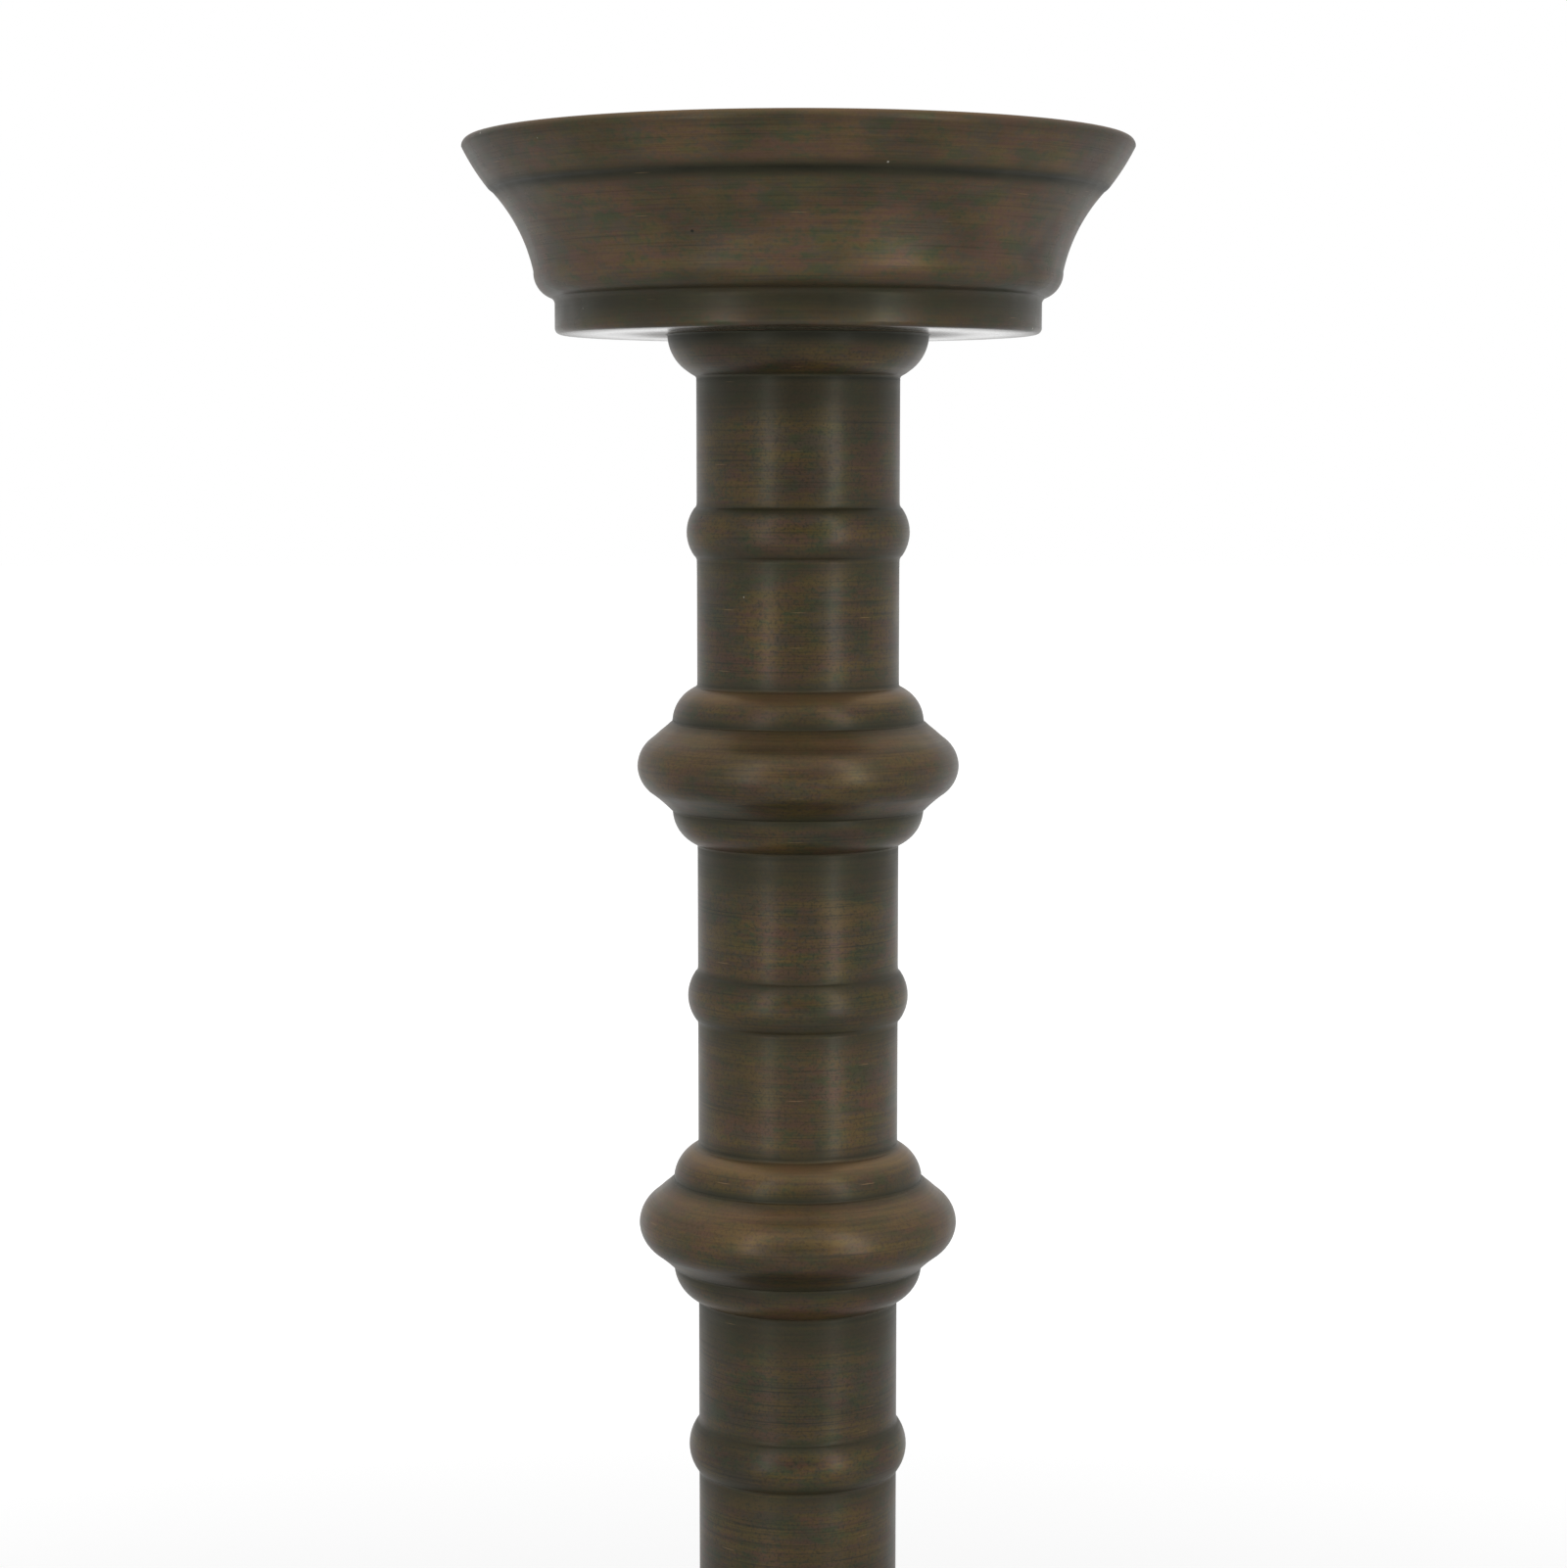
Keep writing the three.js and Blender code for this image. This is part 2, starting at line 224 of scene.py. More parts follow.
class Finish(bpy.types.PropertyGroup):
    """Colours of the finishes."""

    __annotations__ = (
        properties(
            colour,
            brown_bronze=((0.0480, 0.0355, 0.0225), "Main tone of the metal"),
            red_bronze=((0.0770, 0.0340, 0.0210), "Reddish tone in the mottling"),
            ochre_bronze=((0.0880, 0.0590, 0.0140), "Yellowish tone where the brushing rubbed it"),
            olive_bronze=((0.0335, 0.0370, 0.0160), "Greenish dark tone of the tarnish"),
            # Patina and tarnish are laid by the dark rings: patina in seams and hollows, and painted shade
            # where light is blocked.
            patina=((0.0145, 0.0150, 0.0100), "Dark tone left in grooves and seams"),
            tarnish=((0.0315, 0.0295, 0.0150), "Greenish tone round the grooves"),
            # Worn is laid by the light rings: worn edges, and painted highlights on faces turned up.
            worn=((0.3000, 0.1850, 0.0900), "Tone of worn edges"),
            dust=((0.30, 0.28, 0.24), "Tone of the specks of dust"),
            haze=((0.060, 0.062, 0.062), "Grey tone of the haze"),
            steel=((0.36, 0.36, 0.34), "Tone of the rod, washer and nut"),
            cement=((0.33, 0.31, 0.27), "Tone of the filling"),
            felt=((0.012, 0.026, 0.016), "Tone of the pad"),
            lint=((0.14, 0.16, 0.13), "Tone of the lint on the felt"),
        )
        | properties(
            share,
            stem_brushing=(1.0, "Strength of the brushed lines on the stem"),
            # Lightness paints a part lighter than the tones, as painted light: none on the stem, and on
            # the pan for its faces that turn down.
            stem_lightness=(0.0, "How much lighter the stem is than the tones"),
            stem_haze=(0.0, "How far a grey haze covers the tones of the stem"),
            stem_rubbing=(0.7, "How much of the stem is rubbed to the yellowish tone"),
            pan_rubbing=(0.45, "How much of the pan is rubbed to the yellowish tone"),
            pan_brushing=(0.55, "Strength of the brushed lines on the pan"),
            pan_lightness=(0.42, "How much lighter the pan is than the tones"),
            pan_haze=(0.15, "How far a grey haze covers the tones of the pan"),
            metal=(0.35, "How far the tarnish lets the bare metal show"),
            stem_sheen=(0.48, "How far the metal brightens where it turns away"),
            pan_sheen=(0.25, "How far the metal brightens where it turns away"),
            stem_wax=(0.13, "Strength of the thin coat of wax"),
            pan_wax=(0.07, "Strength of the thin coat of wax"),
            roughness=(0.39, "Mean roughness of the bronze"),
        )
        | millimetres(
            held_height=(277, "Where hands have rubbed the stem lighter"),
            held_reach=(30, "How far up and down the rubbing reaches"),
        )
    )


class StageSettings(bpy.types.PropertyGroup):
    """The camera, the lamps, the floor and the background."""

    __annotations__ = (
        properties(
            length,
            camera_distance=(655.5 * MM, "From the stem's axis"),
            camera_height=(398.9 * MM, "Above the table"),
            camera_left=(2.75 * MM, "To the left of the stem's axis"),
            floor_size=(24.0, "Width of the floor"),
            shadow_reach=(0.6, "How far the object's shadow shows on the floor"),
            lamp_distance=(0.85, "From the stem's axis"),
            lamp_height=(0.76, "Of each lamp's middle above the table"),
            lamp_width=(0.19, "Width of each lamp"),
            lamp_length=(1.48, "Upright size of each lamp"),
        )
        | properties(
            angle,
            camera_tilt=(math.radians(6.92), "Downwards"),
            left_lamp=(math.radians(34), "Angle to the left of the camera"),
            right_lamp=(math.radians(41), "Angle to the right of the camera"),
        )
        | properties(
            focal_length,
            lens=(79.77, "Focal length on a 36 mm sensor"),
        )
        | properties(
            share,
            lens_shift=(0.06, "Upward shift, as a share of the frame"),
            floor_tone=(0.6, "Reflectance of the floor"),
            near_lift=(0.40, "How much whiter the floor looks near the foot than its light makes it"),
            far_lift=(0.70, "How much whiter the floor looks further away"),
            room=(0.72, "Strength of the light all round"),
            behind_camera=(0.3, "Strength of the light from there, as a share"),
        )
        | properties(
            power,
            left_power=(2.9, "Power of the left lamp"),
            right_power=(4.0, "Power of the right lamp"),
        )
    )


class Wire:
    """One output of a shader node. Arithmetic on it adds Math nodes."""

    def __init__(self, tree, socket=None):
        self.tree = tree
        self.socket = socket

    def add(self, kind, inputs=None, output=0, stops=None, **settings):
        """Adds a node of any kind: its settings first, then the values or links of its sockets."""
        node = self.tree.nodes.new("ShaderNode" + kind)
        for name, value in settings.items():
            setattr(node, name, value)
        if stops:
            ramp = node.color_ramp
            while len(ramp.elements) < len(stops):
                ramp.elements.new(1)
            for element, (position, level) in zip(ramp.elements, stops):
                element.position = position
                element.color = (level, level, level, 1)
        for name, value in (inputs or {}).items():
            socket = node.inputs[name]
            if isinstance(value, Wire):
                self.tree.links.new(value.socket, socket)
            else:
                socket.default_value = value
        return Wire(self.tree, node.outputs[output])

    def math(self, operation, other, swapped=False):
        """A Math node on this wire and another one, or a number, in this order or swapped."""
        pair = (other, self) if swapped else (self, other)
        return self.add("Math", dict(enumerate(pair)), operation=operation)

    __add__ = __radd__ = partialmethod(math, "ADD")
    __sub__ = partialmethod(math, "SUBTRACT")
    __rsub__ = partialmethod(math, "SUBTRACT", swapped=True)
    __mul__ = __rmul__ = partialmethod(math, "MULTIPLY")
    __pow__ = partialmethod(math, "POWER")

    def clamp(self):
        return self.add("Clamp", {"Value": self})

    def ramp(self, low, high):
        """0 below low and 1 above high, with a smooth change between."""
        values = {"Value": self, "From Min": low, "From Max": high}
        return self.add("MapRange", values, interpolation_type="SMOOTHSTEP")

    def blend(self, factor, first, second):
        """A colour between two, each a wire or three numbers."""
        tones = [tone if isinstance(tone, Wire) else (*tone, 1) for tone in (first, second)]
        return self.add("Mix", {0: factor, 6: tones[0], 7: tones[1]}, output=2, data_type="RGBA")

    def seen(self):
        """1 for rays that look at a background straight, in a gloss or through glass, and 0 for light."""
        ways = ("Camera", "Glossy", "Transmission")
        return sum(self.add("LightPath", output=f"Is {way} Ray") for way in ways).clamp()


class Shader(Wire):
    """A material with one Principled shader, whose sockets are set by name."""

    def __init__(self, name, **constants):
        self.material = bpy.data.materials.new(name)
        self.material.use_nodes = True
        super().__init__(self.material.node_tree)
        self.surface = self.tree.nodes["Principled BSDF"]
        for socket, value in constants.items():
            self.surface.inputs[socket.replace("_", " ")].default_value = value
        self.place = self.add("TexCoord", output="Object")

    def feed(self, socket, wire):
        self.tree.links.new(wire.socket, self.surface.inputs[socket])

    def waves(self, *counts):
        """The position, scaled for a pattern with so many cells to the metre along each axis."""
        return self.add("VectorMath", {0: self.place, 1: counts}, operation="MULTIPLY")

    def noise(self, *counts, detail=2.0, roughness=0.5):
        values = {"Vector": self.waves(*counts), "Scale": 1.0, "Detail": detail, "Roughness": roughness}
        return self.add("TexNoise", values, noise_dimensions="3D")

    def part(self, axis):
        """The position along one axis: 0 for X, 1 for Y and 2 for Z."""
        return self.add("SeparateXYZ", {0: self.place}, output=axis)

    def from_axis(self):
        """The distance from the axis of the turning."""
        return (self.part(0) ** 2 + self.part(1) ** 2) ** 0.5

    def turned(self, around, along):
        """Noise in rings round the axis, whatever way the turned surface faces."""
        values = {"Vector": self.waves(around, around, along), "W": self.from_axis() * along}
        values.update({"Scale": 1.0, "Detail": 3.0, "Roughness": 0.6})
        return self.add("TexNoise", values, noise_dimensions="4D")

    def spots(self, place, radius, rarity):
        """Small spots, at most one to a cell of the pattern. The radius is in cells."""
        values = {"Vector": place, "Scale": 1.0}
        distance = self.add("TexVoronoi", values, output="Distance")
        lot = self.add("SeparateColor", {0: self.add("TexVoronoi", values, output="Color")})
        inside = 1 - distance.ramp(0.5 * radius, radius)
        return inside * lot.math("GREATER_THAN", rarity)

    def attribute(self, name):
        return self.add("Attribute", output="Fac", attribute_name=name)

    def bump(self, height, distance, below=None):
        values = {"Height": height, "Strength": 1.0, "Distance": distance}
        if below:
            values["Normal"] = below
        return self.add("Bump", values)


def bronze_material(finish, name="Antique_bronze", part="stem"):
    """Antique bronze: brushed on the lathe, tarnished in patches, dark in grooves with patina and
    painted shade, and rubbed on edges, with painted highlights on faces turned up.
    """
    traits = ("rubbing", "brushing", "lightness", "haze", "sheen", "wax")
    values = (getattr(finish, f"{part}_{trait}") for trait in traits)
    rubbing, brushing, lightness, haze, sheen, wax = values
    shader = Shader(name, Coat_Roughness=0.25, Specular_IOR_Level=0.25)
    shader.surface.inputs["Specular Tint"].default_value = (*[sheen] * 3, 1)
    drifts = shader.noise(48, 48, 60)
    patches = shader.noise(120, 120, 190, detail=3.0)
    clouds = shader.noise(95, 95, 260, detail=3.0)
    blooms = shader.noise(150, 150, 330, detail=3.0)
    flecks = shader.noise(210, 210, 700, detail=4.0, roughness=0.65)
    grain = shader.noise(1000, 1000, 1200)
    pores = shader.noise(1900, 1900, 1900, detail=1.0)
    streaks = shader.turned(80, 1700)
    lines = shader.turned(34, 3300)
    tones = (finish.brown_bronze, finish.olive_bronze, finish.red_bronze, finish.ochre_bronze)
    # Lightness gives a lighter copy of the tones: painted light, used for the pan.
    gain = (1 - haze) * (1 + lightness)
    brown, olive, red, ochre = (
        tuple(gain * level + haze * grey for level, grey in zip(tone, finish.haze)) for tone in tones
    )
    greenish = (0.6 * blooms + 0.4 * flecks).ramp(0.56, 0.40)
    tone = shader.blend(greenish, brown, olive)
    reddish = (0.4 * patches + 0.35 * flecks + 0.25 * grain).ramp(0.45, 0.57) * 0.65
    tone = shader.blend(reddish, tone, red)
    rubbed = (0.35 * clouds + 0.35 * streaks + 0.3 * grain).ramp(0.44, 0.60)
    tone = shader.blend(rubbed * rubbing, tone, ochre)
    speckled = 0.25 * brushing * grain.ramp(0.5, 0.7)
    dull = 0.35 * (1 - drifts).ramp(0.4, 0.66) + 0.5 * brushing * lines.ramp(0.48, 0.72) + speckled
    tone = shader.blend(dull, tone, finish.patina)
    tone = shader.blend(0.5 * brushing**3 * pores.ramp(0.5, 0.72), tone, finish.patina)
    # Dark rings from the mesh: patina in seams and hollows, and painted shade where light is blocked, in
    # the tarnish and patina tones.
    groove = shader.attribute("groove")
    mottled_shade_and_patina = (groove * (0.35 + 0.7 * drifts + 0.4 * flecks)).clamp()
    tone = shader.blend((1.2 * mottled_shade_and_patina).clamp(), tone, finish.tarnish)
    tone = shader.blend(mottled_shade_and_patina * mottled_shade_and_patina, tone, finish.patina)
    # Light rings from the mesh, and a band where hands hold the stem: wear, and painted highlights on
    # faces turned up, in the worn tone.
    off = ((shader.part(2) - finish.held_height) ** 2) * (1 / finish.held_reach**2)
    held = 0.022 * off.ramp(1, 0)
    wear = ((shader.attribute("wear") + held) * (0.5 + streaks + 0.3 * patches)).clamp() * (1 - mottled_shade_and_patina) ** 2
    tone = shader.blend(wear, tone, finish.worn)
    # Short pale scratches: bare metal in each scratch, and painted glints.
    along = 2300 * (shader.part(2) + 0.55 * shader.from_axis())
    arcs = shader.add("CombineXYZ", {0: 75 * shader.part(0), 1: 75 * shader.part(1), 2: along})
    scratches_and_glints = shader.spots(arcs, 0.16, 0.95)
    tone = shader.blend(scratches_and_glints * 0.4, tone, finish.worn)
    nicks = shader.spots(shader.waves(70, 70, 80), 0.03, 0.6)
    tone = shader.blend(nicks, tone, finish.patina)
    specks = shader.spots(shader.waves(110, 110, 116), 0.03, 0.5)
    tone = shader.blend(specks, tone, finish.dust)
    shader.feed("Base Color", tone)
    shader.feed("Metallic", finish.metal * (1 - 0.5 * mottled_shade_and_patina) + (1 - finish.metal) * wear - 0.3 * specks)
    smooth = shader.attribute("smooth")
    shader.feed("Coat Weight", wax * (1 - mottled_shade_and_patina) + 0.25 * smooth)
    dullness = 0.12 * patches + 0.08 * lines + 0.1 * mottled_shade_and_patina - 0.1 * wear - 0.3 * smooth
    shader.feed("Roughness", finish.roughness - 0.1 + dullness)
    dents = shader.bump(drifts, 0.8 * MM)
    shader.feed("Normal", shader.bump(streaks + lines - nicks + specks, 0.018 * MM, dents))
    return shader


def steel_material(finish):
    """Zinc-plated steel, a little dull."""
    shader = Shader("Zinc_plated_steel", Metallic=1.0)
    cloud = shader.noise(220, 220, 220, detail=5.0)
    grain = shader.turned(300, 2600)
    dark = tuple(0.62 * part for part in finish.steel)
    shader.feed("Base Color", shader.blend(cloud.ramp(0.3, 0.7), dark, finish.steel))
    shader.feed("Roughness", 0.28 + 0.22 * cloud)
    shader.feed("Normal", shader.bump(grain, 0.01 * MM))
    return shader


def cement_material(finish):
    """Cast cement with sand grains, stains and small pits."""
    shader = Shader("Cast_cement")
    cloud = shader.noise(60, 60, 60, detail=5.0)
    sand = shader.noise(1500, 1500, 1500, detail=3.0)
    pits = shader.noise(420, 420, 420, detail=1.0)
    dark = tuple(0.55 * part for part in finish.cement)
    tone = shader.blend(cloud.ramp(0.3, 0.7), dark, finish.cement)
    tone = shader.blend(sand.ramp(0.55, 0.75) * 0.5, tone, dark)
    shader.feed("Base Color", tone)
    shader.feed("Roughness", 0.86 + 0.1 * sand)
    rough = shader.bump(sand, 0.08 * MM)
    shader.feed("Normal", shader.bump(pits.ramp(0.3, 0.42), 0.4 * MM, rough))
    return shader


def felt_material(finish):
    """Pressed wool felt: matted fibres with lint."""
    shader = Shader("Wool_felt", Sheen_Weight=0.35, Sheen_Roughness=0.6)
    mat = shader.noise(900, 900, 900, detail=6.0, roughness=0.7)
    cloud = shader.noise(50, 50, 50, detail=3.0)
    hairs = shader.noise(240, 2400, 900)
    pale = tuple(2.2 * part for part in finish.felt)
    tone = shader.blend(mat.ramp(0.35, 0.7), finish.felt, pale)
    tone = shader.blend(cloud.ramp(0.4, 0.8) * 0.3, tone, tuple(1.6 * part for part in finish.felt))
    tone = shader.blend(hairs.ramp(0.66, 0.74) * 0.35, tone, finish.lint)
    shader.feed("Base Color", tone)
    shader.feed("Roughness", 0.88 + 0.1 * mat)
    shader.feed("Normal", shader.bump(mat, 0.25 * MM))
    return shader


makers = {
    "bronze": bronze_material,
    # The pan's bronze is painted lighter than the stem's, as painted light for its faces that turn down;
    # it also differs in brushing, rubbing, haze, sheen and wax.
    "pan_bronze": partial(bronze_material, name="Pan_bronze_painted_lighter", part="pan"),
    "steel": steel_material,
    "cement": cement_material,
    "felt": felt_material,
}


@cache
def shader_for(slot):
    """The finish of one of the record's material slots, made the first time that it is asked for."""
    return makers[slot](bpy.context.scene.holder_finish)


def finish_piece(piece, node, slot):
    """Gives a piece its finish and lets it stand for its CAD node."""
    piece.name = node + "_piece"
    piece.data.name = piece.name
    piece.data.materials.clear()
    piece.data.materials.append(shader_for(slot).material)
    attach(piece, "root")
    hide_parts(node)


def select_only(piece):
    bpy.ops.object.select_all(action="DESELECT")
    piece.select_set(True)
    bpy.context.view_layer.objects.active = piece


def copy_of(piece, lift, upside_down=False):
    """A copy with its own mesh, turned over about the floor's middle if asked, then lifted."""
    select_only(piece)
    bpy.ops.object.duplicate(linked=False)
    copy = bpy.context.object
    if upside_down:
        bpy.ops.transform.rotate(value=math.pi, orient_axis="X", center_override=(0, 0, 0))
    bpy.ops.transform.translate(value=(0, 0, lift))
    bpy.ops.object.transform_apply(location=True, rotation=True, scale=True)
    return copy


def finish_row(first, family, count):
    """Finishes a piece as the first of a row of like pieces, after its copies for the others."""
    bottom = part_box(f"{family}_1")[0].z
    for number in range(count, 1, -1):
        node = f"{family}_{number}"
        finish_piece(copy_of(first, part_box(node)[0].z - bottom), node, "bronze")
    finish_piece(first, f"{family}_1", "bronze")


class Section:
    """A section drawn in the XZ plane from one vertex, and turned round the Z axis.

    It is drawn with the metal on its left: outwards along the bottom, up the outside, inwards
    along the top and down the inside. Heights are from the piece's own level. Rings are marked for
    the material, with their reach given in widths of a seam. Dark rings hold patina in seams and
    hollows, and painted shade where light is blocked. Light rings hold worn edges, and painted
    highlights on faces turned up. Smooth rings make the surface smoother.
    """

    ARC_ANGLE = math.radians(6)
    ARC_STEP = 0.8 * MM
    MARKED_EDGE = 0.5 * MM
    PLAIN_EDGE = 4 * MM
    QUARTER_SWELL = (math.sqrt(2) - 1) / 2

    def __init__(self, level, radius, height):
        self.level = level
        self.start = (radius, height)
        self.at = self.start
        self.eased = []
        self.rings = {"groove": [], "wear": [], "smooth": []}
        self.seam = bpy.context.scene.holder_stem.seam
        bpy.ops.object.select_all(action="DESELECT")
        bpy.ops.mesh.primitive_plane_add(size=MM, location=(0, 0, 0))
        self.piece = bpy.context.object
        bpy.ops.object.mode_set(mode="EDIT")
        bpy.ops.mesh.merge(type="CENTER")
        bpy.ops.transform.translate(value=(radius, 0, level + height))

    def line(self, radius, height, ease=0.0):
        """A straight side. The corner that it ends in is eased."""
        step = (radius - self.at[0], 0, height - self.at[1])
        bpy.ops.mesh.extrude_region_move(TRANSFORM_OT_translate={"value": step})
        return self.reach(radius, height, ease)

    def lines(self, *sides):
        """Straight sides, one after another."""
        for side in sides:
            self.line(*side)
        return self

    def arc(self, radius, height, swell, ease=0.0):
        """A circular side that bulges from its chord by swell; a negative swell is a hollow."""
        across, up = radius - self.at[0], height - self.at[1]
        chord = math.hypot(across, up)
        half_turn = 2 * math.atan(2 * abs(swell) / chord)
        arc_radius = chord / (2 * math.sin(half_turn))
        side = math.copysign(arc_radius - abs(swell), swell)
        middle = (self.at[0] + across / 2, self.at[1] + up / 2)
        centre = (middle[0] - side * up / chord, 0, self.level + middle[1] + side * across / chord)
        by_angle = math.ceil(2 * half_turn / self.ARC_ANGLE)
        by_length = math.ceil(2 * half_turn * arc_radius / self.ARC_STEP)
        bpy.ops.mesh.spin(
            steps=max(2, by_angle, by_length),
            angle=math.copysign(2 * half_turn, swell),
            center=centre,
            axis=(0, 1, 0),
        )
        return self.reach(radius, height, ease)

    def quarter(self, radius, height, side=1):
        """A quarter of a circle round an outer corner, or in an inner corner where side is -1."""
        chord = math.hypot(radius - self.at[0], height - self.at[1])
        return self.arc(radius, height, side * chord * self.QUARTER_SWELL)

    fillet = partialmethod(quarter, side=-1)

    def reach(self, radius, height, ease):
        self.at = (radius, height)
        if ease:
            self.eased.append((radius, height, ease))
        return self

    def ring(self, name, reach, depth=1.0):
        """Marks a ring round the point where the section now ends."""
        self.rings[name].append((*self.at, reach * self.seam, depth))
        return self

    groove = partialmethod(ring, "groove")
    wear = partialmethod(ring, "wear")
    smooth = partialmethod(ring, "smooth")

    def select(self, elements, test):
        """Selects the vertices or edges that pass a test, and says how many they are."""
        bpy.ops.mesh.select_all(action="DESELECT")
        mesh = bmesh.from_edit_mesh(self.piece.data)
        found = [element for element in getattr(mesh, elements) if test(element)]
        for element in found:
            element.select_set(True)
        bmesh.update_edit_mesh(self.piece.data)
        return len(found)

    def is_long(self, edge):
        """Whether an edge is too long to carry the masks of the dark and light rings."""
        middle = (edge.verts[0].co + edge.verts[1].co) / 2
        marks = self.rings["groove"] + self.rings["wear"]
        near = any(
            math.hypot(middle.x - radius, middle.z - self.level - height) < 2.5 * reach
            for radius, height, reach, depth in marks
        )
        return edge.calc_length() > (self.MARKED_EDGE if near else self.PLAIN_EDGE)

    def turn(self, steps=128):
        """Closes the section, eases its corners and turns it into a solid piece."""
        if self.start[0] or self.at[0]:
            self.line(*self.start)
        bpy.ops.mesh.select_all(action="SELECT")
        bpy.ops.mesh.remove_doubles(threshold=MERGE_DISTANCE)
        for radius, height, ease in self.eased:
            corner = (radius, 0, self.level + height)
            self.select("verts", lambda vert: (vert.co - Vector(corner)).length < 10 * MERGE_DISTANCE)
            bpy.ops.mesh.bevel(offset=ease, segments=4, affect="VERTICES")
        while self.select("edges", self.is_long):
            bpy.ops.mesh.subdivide(number_cuts=1)
        bpy.ops.mesh.select_all(action="SELECT")
        bpy.ops.mesh.spin(steps=steps, angle=FULL_TURN, center=(0, 0, 0), axis=(0, 0, 1))
        bpy.ops.mesh.select_all(action="SELECT")
        bpy.ops.mesh.remove_doubles(threshold=MERGE_DISTANCE)
        bpy.ops.mesh.normals_make_consistent(inside=False)
        bpy.ops.object.mode_set(mode="OBJECT")
        bpy.ops.object.shade_smooth_by_angle(angle=math.radians(40))
        self.mark()
        return self.piece

    def mark(self):
        """Writes how near each vertex is to the marked rings, for the material to read."""
        for name, rings in self.rings.items():
            layer = self.piece.data.attributes.new(name, "FLOAT", "POINT")
            for vertex, value in zip(self.piece.data.vertices, layer.data):
                across = math.hypot(vertex.co.x, vertex.co.y)
                up = vertex.co.z - self.level
                near = [
                    depth * math.exp(-(((across - radius) ** 2 + (up - height) ** 2) / reach**2))
                    for radius, height, reach, depth in rings
                ]
                value.value = max(near, default=0.0)


class HOLDER_OT_sleeves(bpy.types.Operator):
    """Turn the four tube sleeves of the stem."""

    bl_idname = "holder.sleeves"
    bl_label = "Sleeves"

    def execute(self, context):
        stem = context.scene.holder_stem
        level, tall, _ = span("stem_sleeve_1")
        bore = stem.tube_radius - stem.tube_wall
        under_bead = 0.47 * tall
        section = Section(level, bore, 0)
        # Dark rings: patina in the seams at both ends, and painted shade on the sleeve under its bead and
        # below the collar over its top.
        section.line(stem.tube_radius, 0, stem.ease).groove(1.7, 0.5)
        section.line(stem.tube_radius, under_bead).groove(4.5, 0.85)
        section.line(stem.tube_radius, tall - 2 * stem.seam).groove(4.5, 0.6)
        section.line(stem.tube_radius, tall, stem.ease).groove(1.6, 0.8)
        section.line(bore, tall)
        finish_row(section.turn(), "stem_sleeve", 4)
        return {"FINISHED"}


class HOLDER_OT_beads(bpy.types.Operator):
    """Turn the four half-round beads, each with its soft line of solder."""

    bl_idname = "holder.beads"
    bl_label = "Beads"

    def execute(self, context):
        stem = context.scene.holder_stem
        level, tall, _ = span("bead_ring_1")
        bore = stem.tube_radius + stem.skin
        edge = stem.tube_radius + stem.bead_edge
        section = Section(level, bore, -stem.solder_length)
        section.arc(edge, 0, -stem.solder_hollow).groove(1.6, 0.5)
        section.arc(edge, tall, stem.bead_radius - edge).groove(1.2, 0.6)
        section.arc(bore, tall + stem.solder_length, -stem.solder_hollow)
        finish_row(section.turn(), "bead_ring", 4)
        return {"FINISHED"}


def turn_collar(stem, level, wide, tall, dark, rubbed=0.0, fillet=0.0):
    """A collar that stands on its wide face, with its boss below and its spigot above.

    Solder fills the corner at its sleeve. There the dark ring is as deep as asked: patina, with
    painted shade on the collars that face down or sit under the pan. The light ring on the shoulder
    is as strong as asked: rubbing, with painted highlight on the collars that face up. A fillet
    fills the corner at its wide face when one is asked.
    """
    spigot = stem.tube_radius - stem.tube_wall - stem.fit
    narrow = stem.tube_radius + stem.collar_lip
    section = Section(level, stem.rod_hole, -stem.boss_height)
    section.lines((stem.boss_radius, -stem.boss_height, stem.ease), (stem.boss_radius, 0))
    if fillet:
        section.line(wide + fillet, 0)
        section.fillet(wide, fillet).groove(1.8, 0.9)
    else:
        section.line(wide, 0, stem.ease).groove(1.3, 0.8)
    across, up = narrow - wide, tall - stem.collar_lip
    # The curve is split at this share of its chord, where the shoulder gets its light ring:
    # rubbing, with painted highlight on the collars that face up.
    shoulder = 0.85
    out = 4 * shoulder * (1 - shoulder) * stem.collar_swell / math.hypot(across, up)
    place = (wide + shoulder * across + out * up, shoulder * up - out * across)
    section.arc(*place, shoulder**2 * stem.collar_swell).wear(1.7, rubbed)
    section.arc(narrow, up, (1 - shoulder) ** 2 * stem.collar_swell).groove(0.9, 0.45 * dark)
    section.fillet(stem.tube_radius + stem.skin, tall + stem.fillet).groove(0.8, max(0.75, dark))
    top = tall + stem.spigot_length
    section.lines((stem.tube_radius, tall), (spigot, tall), (spigot, top, stem.ease), (stem.rod_hole, top))
    return section.turn()


